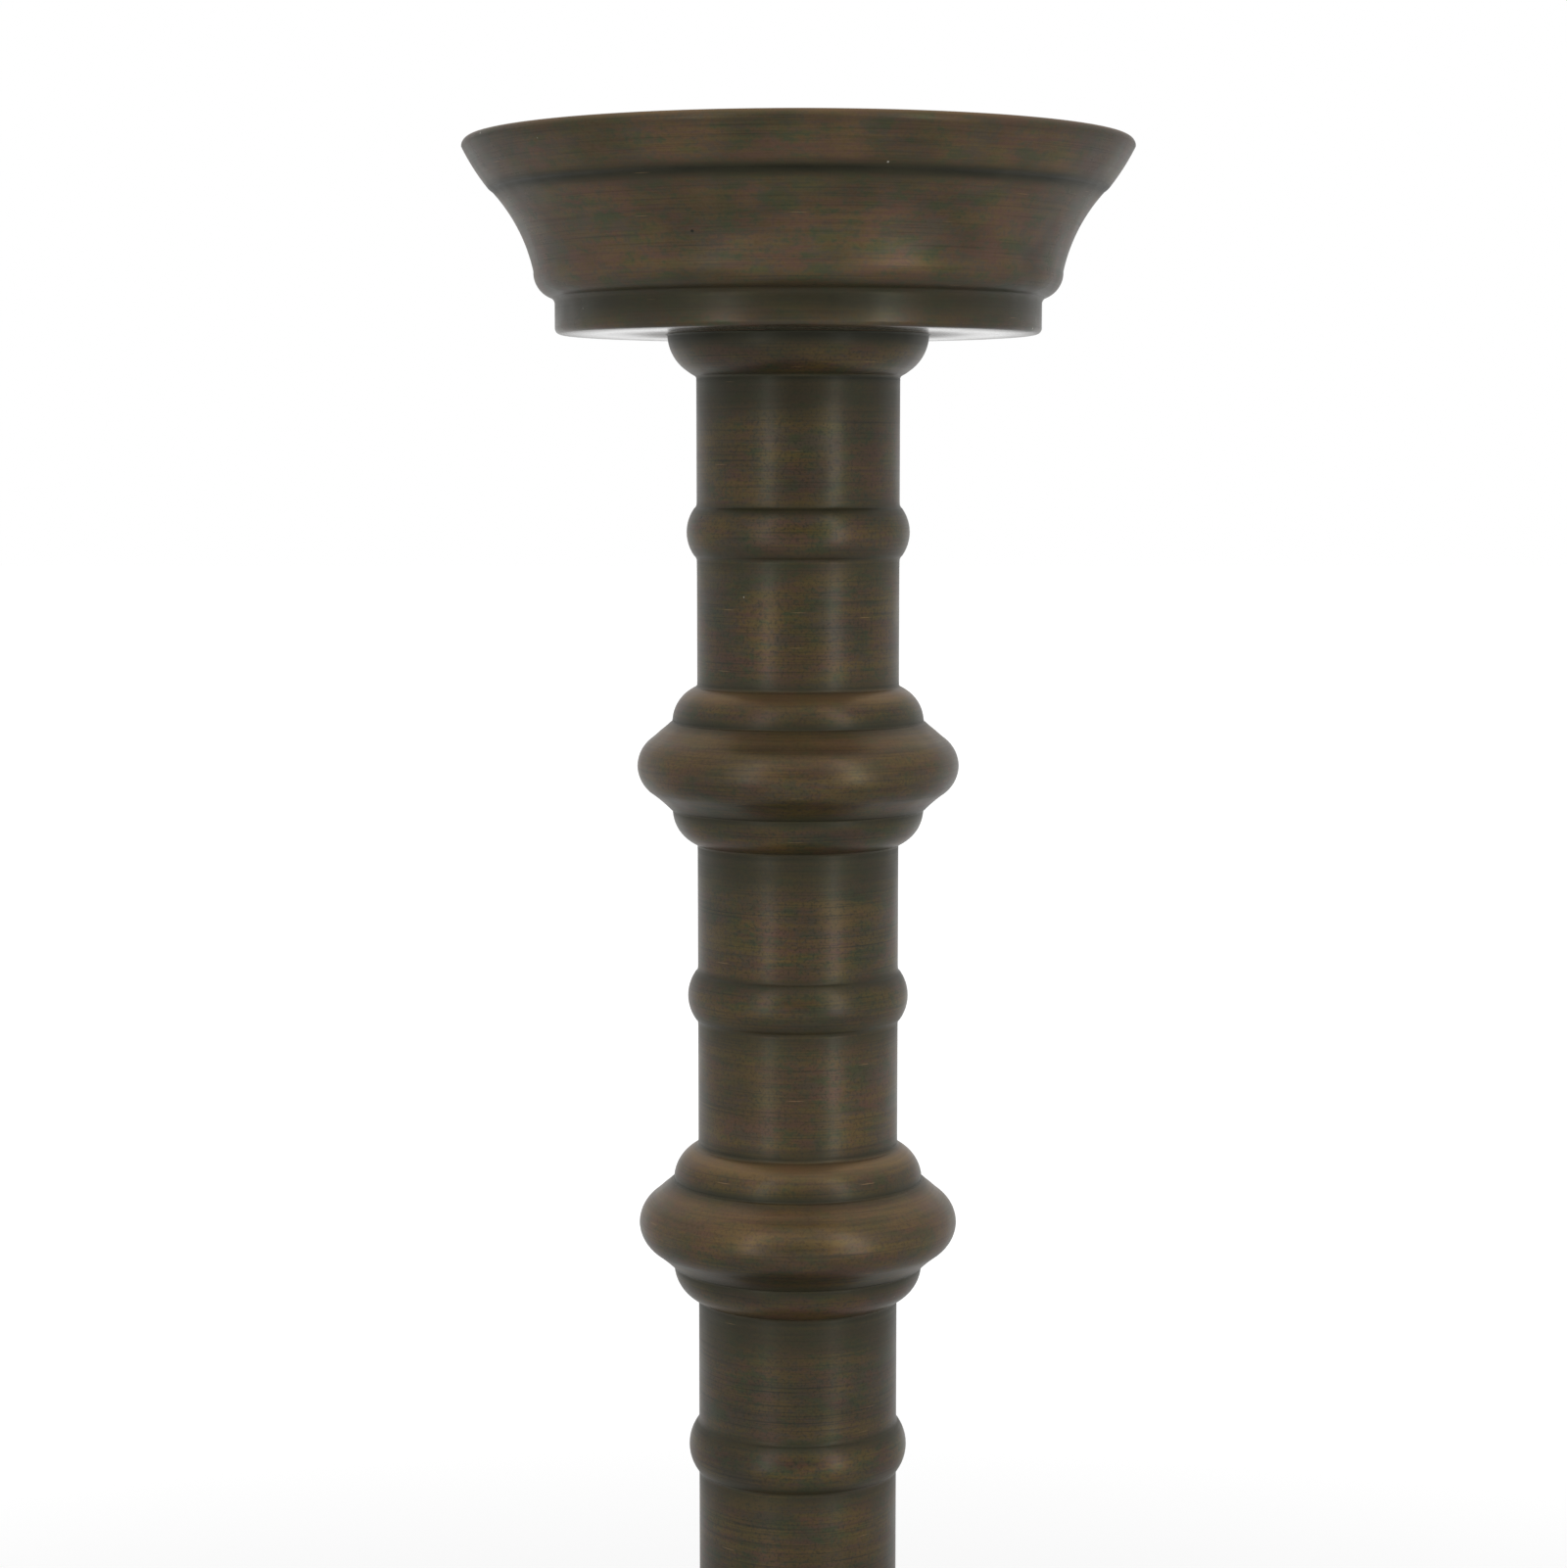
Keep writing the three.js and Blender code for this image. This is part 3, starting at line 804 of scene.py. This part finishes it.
class HOLDER_OT_collars(bpy.types.Operator):
    """Turn the rounded collars at the knops and at both ends of the stem."""

    bl_idname = "holder.collars"
    bl_label = "Collars"

    def execute(self, context):
        stem = context.scene.holder_stem
        low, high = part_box("knop_upper_collar_1")
        level = low.z + stem.boss_height
        tall = high.z - stem.spigot_length - level
        # The lower collars face down: a deeper dark ring of painted shade and patina, and almost no light
        # ring.
        lower = turn_collar(stem, level, high.x, tall, dark=0.35, rubbed=0.04)
        for number in (3, 2, 1):
            node = f"knop_lower_collar_{number}"
            finish_piece(copy_of(lower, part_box(node)[1].z + low.z, True), node, "bronze")
        select_only(lower)
        bpy.ops.object.delete()
        # The upper collars face up: a paler dark ring, and a strong light ring of painted highlight and
        # rubbing.
        upper = turn_collar(stem, level, high.x, tall, dark=0.2, rubbed=0.34)
        finish_row(upper, "knop_upper_collar", 3)
        low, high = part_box("foot_collar")
        level = low.z + stem.boss_height
        tall = high.z - stem.spigot_length - level
        # The end collars get the darkest ring: patina, and painted shade under the pan for the copy there.
        end = turn_collar(stem, level, high.x, tall, dark=0.9, fillet=stem.fillet)
        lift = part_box("pan_collar")[1].z + low.z
        finish_piece(copy_of(end, lift, True), "pan_collar", "bronze")
        finish_piece(end, "foot_collar", "bronze")
        return {"FINISHED"}


class HOLDER_OT_knops(bpy.types.Operator):
    """Turn the three knops, each a ring with a rounded nose."""

    bl_idname = "holder.knops"
    bl_label = "Knops"

    def execute(self, context):
        stem = context.scene.holder_stem
        level, tall, wide = span("knop_ring_1")
        bore = stem.boss_radius + stem.fit
        nose = wide - stem.nose_swell
        nose_bottom = (tall - stem.nose_height) / 2
        collar = top_radius("knop_upper_collar_1")
        section = Section(level, bore, 0)
        section.lines((collar, 0), (collar + stem.skin, -stem.fillet))
        section.fillet(stem.knop_face, 0).groove(1.3, 0.65)
        # Dark ring at the foot of the nose: painted shade on the lower slope that faces down, with patina.
        section.arc(nose, nose_bottom, -stem.flank_hollow).groove(1.3, 0.2)
        # The nose and the upper slope are drawn in halves, each with a quarter of the bulge.
        section.arc(wide, tall / 2, stem.nose_swell / 4)
        # Light rings from the nose's top to the face: rubbing, and painted highlight on the upper slope
        # that faces up.
        section.arc(nose, nose_bottom + stem.nose_height, stem.nose_swell / 4).wear(4, 0.12)
        middle = ((nose + stem.knop_face) / 2, (nose_bottom + stem.nose_height + tall) / 2)
        section.arc(*middle, -stem.flank_hollow / 4).wear(2.7, 0.2)
        section.arc(stem.knop_face, tall, -stem.flank_hollow / 4)
        section.groove(1.2, 0.45).wear(2, 0.15)
        section.fillet(collar + stem.skin, tall + stem.fillet).groove(0.6, 0.8)
        section.lines((collar, tall), (bore, tall))
        finish_row(section.turn(), "knop_ring", 3)
        return {"FINISHED"}


class HOLDER_OT_pan(bpy.types.Operator):
    """Cast the drip pan: plinth, shoulder, hollow flare, stepped band and rounded lip."""

    bl_idname = "holder.pan"
    bl_label = "Drip pan"

    def execute(self, context):
        stem = context.scene.holder_stem
        pan = context.scene.holder_pan
        level, tall, wide = span("drip_pan")
        hole = stem.boss_radius + stem.fit
        band = pan.flare_radius + pan.band_step
        cove = pan.plinth_cove
        section = Section(level, hole, 0)
        section.line(0.8 * pan.plinth_radius, 0).smooth(6.15)
        section.line(pan.plinth_radius - pan.plinth_round, 0)
        section.quarter(pan.plinth_radius, pan.plinth_round)
        section.groove(1.2, 0.1)
        # A wide dark ring on the plinth's top: painted shadow of the shoulder over it, with patina.
        section.line(pan.plinth_radius, pan.plinth_height - 2 * cove).groove(3, 0.7)
        section.line(pan.plinth_radius, pan.plinth_height - cove)
        section.arc(pan.plinth_radius + cove, pan.plinth_height + 0.3 * cove, -0.25 * cove)
        section.groove(1, 0.4)
        section.arc(pan.shoulder_radius, pan.shoulder_top, pan.shoulder_swell)
        section.arc(pan.flare_radius, pan.flare_top, -pan.flare_hollow, 0.5 * stem.ease)
        # Dark ring in the notch under the band: patina, and painted shade under the band's step.
        section.groove(1.3, 0.95)
        section.line(band, pan.band_bottom, stem.ease).wear(3, 0.05)
        section.arc(wide, tall - pan.lip_round, pan.band_swell).groove(1.2, 0.25)
        section.quarter(wide - pan.lip_round, tall).wear(0.77, 0.9)
        section.quarter(wide - pan.wall, pan.band_top)
        section.line(band - pan.wall, pan.band_bottom)
        section.arc(pan.shoulder_radius - pan.wall, pan.shoulder_top, pan.flare_hollow)
        corner = pan.plinth_radius - pan.wall - pan.floor_corner
        section.arc(corner, pan.floor, -pan.shoulder_swell).groove(1.5)
        section.line(hole, pan.floor)
        finish_piece(section.turn(steps=192), "drip_pan", "pan_bronze")
        return {"FINISHED"}


class HOLDER_OT_socket(bpy.types.Operator):
    """Turn the taper socket: a cup with a waisted base and a turned-out lip."""

    bl_idname = "holder.socket"
    bl_label = "Taper socket"

    def execute(self, context):
        stem = context.scene.holder_stem
        cup = context.scene.holder_socket
        level, tall, _ = span("taper_socket")
        outside = cup.bore_radius + cup.wall
        section = Section(level, 0, cup.rod_hole_depth)
        section.lines((stem.rod_hole, cup.rod_hole_depth), (stem.rod_hole, 0))
        section.line(cup.flange_radius, 0, stem.ease).groove(0.7)
        section.line(cup.flange_radius, cup.flange_height, 2 * stem.ease).wear(0.4)
        section.arc(cup.waist_radius, cup.waist_top, -cup.waist_hollow).groove(1)
        section.arc(outside, cup.bowl_top, cup.bowl_swell)
        section.line(outside, cup.lip_bottom)
        section.arc(cup.lip_radius, tall - cup.lip_edge, -cup.lip_hollow, stem.ease)
        section.line(cup.lip_radius, tall, stem.ease).wear(0.5)
        section.line(cup.bore_radius + cup.mouth_chamfer, tall, 0.5 * stem.ease)
        section.line(cup.bore_radius, tall - cup.mouth_chamfer)
        section.line(cup.bore_radius, cup.bore_bottom).groove(1.2)
        section.line(0, cup.bore_bottom)
        finish_piece(section.turn(), "taper_socket", "bronze")
        return {"FINISHED"}


class HOLDER_OT_foot(bpy.types.Operator):
    """Cast the foot, which repeats the pan's mouldings upside down, and its neck."""

    bl_idname = "holder.foot"
    bl_label = "Foot and neck"

    def execute(self, context):
        stem = context.scene.holder_stem
        foot = context.scene.holder_foot
        self.cast_shell(stem, foot)
        self.cast_neck(stem, foot)
        return {"FINISHED"}

    def cast_shell(self, stem, foot):
        level, _, wide = span("foot_shell")
        hole = stem.boss_radius + stem.fit
        boss = foot.neck_radius - foot.wall - stem.fit
        boss_top = foot.plinth_top + stem.boss_height
        ceiling = foot.plinth_top - foot.wall
        inside = foot.plinth_radius - foot.wall
        section = Section(level, wide - foot.wall, 0)
        section.line(wide - foot.lip_round, 0)
        section.quarter(wide, foot.lip_round).wear(0.5)
        section.arc(foot.band_radius, foot.band_top, foot.band_swell, stem.ease)
        section.line(foot.flare_radius, foot.flare_bottom, 0.5 * stem.ease).groove(1)
        section.arc(foot.shoulder_radius, foot.shoulder_bottom, -foot.flare_hollow)
        section.arc(foot.plinth_radius, foot.plinth_bottom, foot.shoulder_swell, stem.ease).groove(1)
        section.line(foot.plinth_radius, foot.plinth_top, foot.plinth_round).wear(0.5)
        section.line(foot.ring_radius, foot.plinth_top).groove(1)
        section.lines((boss, foot.plinth_top), (boss, boss_top), (hole, boss_top), (hole, ceiling))
        section.lines((inside, ceiling), (inside, foot.plinth_bottom))
        section.line(foot.shoulder_radius - foot.wall, foot.shoulder_bottom)
        section.arc(foot.flare_radius - foot.wall, foot.flare_bottom, foot.flare_hollow)
        finish_piece(section.turn(steps=192), "foot_shell", "bronze")

    def cast_neck(self, stem, foot):
        level, tall, _ = span("foot_neck")
        hole = stem.boss_radius + stem.fit
        core = foot.neck_radius - foot.wall
        section = Section(level, core, 0)
        section.line(foot.ring_radius, 0, stem.ease).groove(1)
        section.arc(foot.ring_radius, foot.ring_height, foot.ring_swell, stem.ease)
        section.line(foot.trumpet_radius, foot.ring_height).groove(1)
        section.arc(foot.neck_radius, foot.trumpet_top, -foot.trumpet_hollow)
        section.line(foot.neck_radius, tall, 2 * stem.ease)
        section.line(top_radius("foot_collar"), tall).groove(1)
        section.lines((hole, tall), (hole, tall - foot.wall), (core, tall - foot.wall))
        finish_piece(section.turn(steps=160), "foot_neck", "bronze")


class HOLDER_OT_underside(bpy.types.Operator):
    """Pour the cement filling and cut the felt ring under the foot."""

    bl_idname = "holder.underside"
    bl_label = "Filling and felt"

    def execute(self, context):
        stem = context.scene.holder_stem
        foot = context.scene.holder_foot
        level, tall, wide = span("foot_filling")
        gap = foot.wall + stem.fit
        top = foot.plinth_radius - gap
        section = Section(level, foot.nut_recess_radius, 0)
        section.lines((wide, 0), (foot.flare_radius - gap, foot.flare_bottom))
        section.arc(foot.shoulder_radius - gap, foot.shoulder_bottom, -foot.flare_hollow)
        section.lines((top, foot.plinth_bottom), (top, tall), (stem.rod_hole, tall))
        section.line(stem.rod_hole, foot.nut_recess_depth)
        section.line(foot.nut_recess_radius, foot.nut_recess_depth, 2 * stem.ease)
        finish_piece(section.turn(steps=96), "foot_filling", "cement")

        level, tall, wide = span("felt_pad")
        hole, ease = foot.felt_hole, foot.felt_round
        section = Section(level, hole, ease)
        section.lines((hole, 0, ease), (wide, 0, ease), (wide, tall), (hole, tall))
        finish_piece(section.turn(steps=160), "felt_pad", "felt")
        return {"FINISHED"}


class HOLDER_OT_fastenings(bpy.types.Operator):
    """Cut the thread of the tie rod, punch the washer, and cut the nut from a hexagonal bar."""

    bl_idname = "holder.fastenings"
    bl_label = "Rod, washer and nut"

    def execute(self, context):
        stem = context.scene.holder_stem
        sizes = context.scene.holder_fastenings
        self.cut_rod(sizes)
        self.punch_washer(stem, sizes)
        self.cut_nut(sizes)
        return {"FINISHED"}

    def cut_rod(self, sizes):
        level, tall, radius = span("tie_rod")
        root = radius - sizes.thread_depth
        pitch = sizes.thread_pitch
        section = Section(level, 0, 0)
        section.line(root, 0)
        for turn in range(round(sizes.thread_length / pitch)):
            section.lines((radius, turn * pitch + 0.45 * pitch), (radius, turn * pitch + 0.55 * pitch))
            section.line(root, turn * pitch + pitch)
        section.line(radius, sizes.thread_length + sizes.thread_depth)
        section.lines((radius, tall, sizes.thread_depth), (0, tall))
        finish_piece(section.turn(steps=48), "tie_rod", "steel")

    def punch_washer(self, stem, sizes):
        level, tall, wide = span("rod_washer")
        hole, ease = stem.rod_hole, sizes.washer_round
        section = Section(level, hole, ease)
        section.lines((hole, 0, ease), (wide, 0, ease), (wide, tall, ease), (hole, tall))
        finish_piece(section.turn(steps=96), "rod_washer", "steel")

    def cut_nut(self, sizes):
        """A turned blank with chamfered ends, cut to the shape of a hexagonal bar."""
        level, tall, wide = span("rod_nut")
        sunk = sizes.nut_countersink
        mouth = sizes.nut_hole + sunk
        slope = sizes.nut_chamfer * math.sqrt(3)
        rise = 2 * sizes.nut_chamfer
        section = Section(level, sizes.nut_hole, sunk)
        section.lines((mouth, 0), (wide - slope, 0), (wide + slope, rise), (wide + slope, tall - rise))
        section.lines((wide - slope, tall), (mouth, tall), (sizes.nut_hole, tall - sunk))
        nut = section.turn(steps=96)
        bpy.ops.object.select_all(action="DESELECT")
        bpy.ops.mesh.primitive_cylinder_add(
            vertices=6,
            radius=wide,
            depth=2 * tall,
            location=(0, 0, level + tall / 2),
            rotation=(0, 0, math.radians(30)),
        )
        bar = bpy.context.object
        bpy.ops.object.mode_set(mode="EDIT")
        bpy.ops.mesh.select_all(action="SELECT")
        bpy.ops.mesh.bevel(offset=sizes.nut_edge, segments=2, affect="EDGES")
        bpy.ops.object.mode_set(mode="OBJECT")
        select_only(nut)
        bpy.ops.object.modifier_add(type="BOOLEAN")
        cut = nut.modifiers[-1]
        cut.operation = "INTERSECT"
        cut.object = bar
        bpy.ops.object.modifier_apply(modifier=cut.name)
        bpy.ops.object.shade_smooth_by_angle(angle=math.radians(25))
        select_only(bar)
        bpy.ops.object.delete()
        finish_piece(nut, "rod_nut", "steel")


class HOLDER_OT_stage(bpy.types.Operator):
    """Set up the pale floor, the white surroundings, two soft lamps and the camera."""

    bl_idname = "holder.stage"
    bl_label = "Stage"

    def execute(self, context):
        stage = context.scene.holder_stage
        self.lay_floor(stage)
        self.light_room(context.scene, stage)
        self.hang_lamp("Left_lamp", -stage.left_lamp, stage.left_power, stage)
        self.hang_lamp("Right_lamp", stage.right_lamp, stage.right_power, stage)
        bpy.ops.object.camera_add(
            location=(-stage.camera_left, -stage.camera_distance, stage.camera_height),
            rotation=(math.pi / 2 - stage.camera_tilt, 0, 0),
        )
        camera = bpy.context.object
        camera.name = "Photo_camera"
        camera.data.sensor_width = 36
        camera.data.lens = stage.lens
        camera.data.shift_y = stage.lens_shift
        camera.data.clip_start = 0.01
        context.scene.camera = camera
        context.scene.view_settings.view_transform = "Standard"
        return {"FINISHED"}

    def lay_floor(self, stage):
        """A pale matt floor, lifted to the background's white where it is looked at."""
        bpy.ops.object.select_all(action="DESELECT")
        bpy.ops.mesh.primitive_plane_add(size=stage.floor_size, location=(0, 0, 0))
        floor = bpy.context.object
        floor.name = "Floor"
        shader = Shader("Pale_floor", Roughness=1.0, Specular_IOR_Level=0.0, Emission_Strength=1.0)
        shader.surface.inputs["Base Color"].default_value = (*[stage.floor_tone] * 3, 1)
        away = shader.add("VectorMath", {0: shader.place}, output="Value", operation="LENGTH")
        away = away.ramp(0.5 * stage.shadow_reach, 2 * stage.shadow_reach)
        lift = shader.blend(away, [stage.near_lift] * 3, [stage.far_lift] * 3)
        shader.feed("Emission Color", shader.blend(shader.seen(), (0, 0, 0), lift))
        floor.data.materials.append(shader.material)

    def light_room(self, scene, stage):
        """White where it is looked at, a little less as light, and dim behind the camera."""
        world = bpy.data.worlds.new("Room")
        world.use_nodes = True
        scene.world = world
        room = Wire(world.node_tree)
        direction = room.add("TexCoord", output="Generated")
        back = (0 - room.add("SeparateXYZ", {0: direction}, output=1)).ramp(0.80, 0.98)
        camera = room.add("LightPath", output="Is Camera Ray")
        seen = room.seen()
        level = (seen + (1 - seen) * stage.room) * (1 - (1 - stage.behind_camera) * back)
        strength = camera + (1 - camera) * level
        background = world.node_tree.nodes["Background"]
        world.node_tree.links.new(strength.socket, background.inputs["Strength"])
        background.inputs["Color"].default_value = (1, 1, 1, 1)

    def hang_lamp(self, name, side, power, stage):
        """A tall narrow lamp in front of the stem, from near the floor to high over the pan."""
        place = (
            stage.lamp_distance * math.sin(side),
            -stage.lamp_distance * math.cos(side),
            stage.lamp_height,
        )
        bpy.ops.object.light_add(type="AREA", location=place, rotation=(math.pi / 2, 0, side))
        lamp = bpy.context.object
        lamp.name = name
        lamp.data.shape = "RECTANGLE"
        lamp.data.size = stage.lamp_width
        lamp.data.size_y = stage.lamp_length
        lamp.data.energy = power


class HOLDER_PT_panel(bpy.types.Panel):
    """Sizes, finishes and operators of the candle holder."""

    bl_label = "Candle holder"
    bl_idname = "HOLDER_PT_panel"
    bl_space_type = "VIEW_3D"
    bl_region_type = "UI"
    bl_category = "Candle holder"

    def draw(self, context):
        for name in groups:
            settings = getattr(context.scene, name)
            box = self.layout.box()
            box.label(text=type(settings).__doc__)
            for key in settings.__annotations__:
                box.prop(settings, key)
        for operator in operators:
            self.layout.operator(operator.bl_idname)


groups = {
    "holder_stem": StemSizes,
    "holder_pan": PanSizes,
    "holder_socket": SocketSizes,
    "holder_foot": FootSizes,
    "holder_fastenings": FasteningSizes,
    "holder_finish": Finish,
    "holder_stage": StageSettings,
}

operators = (
    HOLDER_OT_sleeves,
    HOLDER_OT_beads,
    HOLDER_OT_collars,
    HOLDER_OT_knops,
    HOLDER_OT_pan,
    HOLDER_OT_socket,
    HOLDER_OT_foot,
    HOLDER_OT_underside,
    HOLDER_OT_fastenings,
    HOLDER_OT_stage,
)


def register():
    for name, group in groups.items():
        bpy.utils.register_class(group)
        setattr(bpy.types.Scene, name, bpy.props.PointerProperty(type=group))
    for operator in operators:
        bpy.utils.register_class(operator)
    bpy.utils.register_class(HOLDER_PT_panel)


def unregister():
    bpy.utils.unregister_class(HOLDER_PT_panel)
    for operator in reversed(operators):
        bpy.utils.unregister_class(operator)
    for name, group in reversed(groups.items()):
        delattr(bpy.types.Scene, name)
        bpy.utils.unregister_class(group)


def main():
    register()
    bpy.ops.holder.sleeves()
    bpy.ops.holder.beads()
    bpy.ops.holder.collars()
    bpy.ops.holder.knops()
    bpy.ops.holder.pan()
    bpy.ops.holder.socket()
    bpy.ops.holder.foot()
    bpy.ops.holder.underside()
    bpy.ops.holder.fastenings()
    bpy.ops.holder.stage()


if __name__ == "__main__":
    main()
